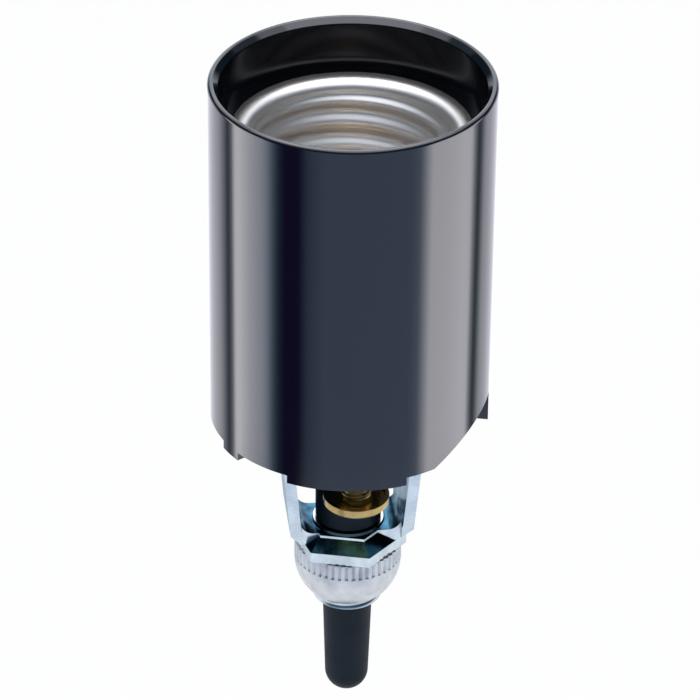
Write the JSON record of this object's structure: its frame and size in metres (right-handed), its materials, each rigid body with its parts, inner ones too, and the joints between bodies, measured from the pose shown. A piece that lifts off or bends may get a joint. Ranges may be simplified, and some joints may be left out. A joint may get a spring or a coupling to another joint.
{
  "type": "turn knob lamp socket",
  "caption": "Black phenolic medium-base lamp socket with a recessed screw shell, a two-legged bracket, a threaded nipple with a lock nut and a bottom turn knob.",
  "frame": {"origin": "centre of the threaded nipple's lower end", "axes": "+Z along the lamp's axis towards the lamp, +X towards one leg of the bracket, -Y towards the brass line terminal"},
  "size_m": [0.0382, 0.038, 0.0973],
  "materials": {
    "black_phenolic": "glossy compression-moulded phenolic",
    "rolled_aluminium": "satin rolled aluminium sheet",
    "red_fibre": "matte vulcanised fibre",
    "yellow_brass": "bright yellow brass",
    "bright_nickel": "bright nickel plating",
    "spring_steel": "tempered spring steel",
    "zinc_plated_steel": "bright blue zinc plating",
    "satin_zinc": "satin zinc plating"
  },
  "bodies": {
    "socket": {"phenolic_body": "black_phenolic", "switch_base": "black_phenolic", "screw_shell": "rolled_aluminium", "shell_insulator": "red_fibre", "contact_rivet": "yellow_brass", "shell_rivets": "yellow_brass", "line_terminal": "yellow_brass", "neutral_terminal": "bright_nickel", "load_contact": "yellow_brass", "detent_spring": "spring_steel", "bracket": "zinc_plated_steel", "threaded_nipple": "zinc_plated_steel", "assembly_screws": "zinc_plated_steel"},
    "knob": {"turn_knob": "black_phenolic", "switch_spindle": "zinc_plated_steel", "switch_rotor": "red_fibre", "rotor_contact": "yellow_brass", "spindle_clip": "spring_steel"},
    "lock_nut": {"knurled_nut": "satin_zinc"},
    "contact_leaf": {"centre_contact": "yellow_brass"},
    "line_screw": {"brass_terminal_screw": "yellow_brass"},
    "neutral_screw": {"nickel_terminal_screw": "bright_nickel"}
  },
  "joints": [
    {"name": "knob_turn", "type": "hinge", "parent": "socket", "child": "knob", "pos_m": [0, 0, 0], "axis": [0, 0, 1], "continuous": true},
    {"name": "nut_turn", "type": "hinge", "parent": "socket", "child": "lock_nut", "pos_m": [0, 0, 0.0055], "axis": [0, 0, 1], "continuous": true},
    {"name": "contact_press", "type": "hinge", "parent": "socket", "child": "contact_leaf", "pos_m": [0, -0.0074, 0.0505], "axis": [-1, 0, 0], "range_deg": [0, 6], "stiffness_Nm_per_rad": 0.05},
    {"name": "line_screw_travel", "type": "slide", "parent": "socket", "child": "line_screw", "axis": [0, 0, 1], "range_m": [0, 0.0053]},
    {"name": "neutral_screw_travel", "type": "slide", "parent": "socket", "child": "neutral_screw", "axis": [0, 0, 1], "range_m": [0, 0.0053]}
  ]
}
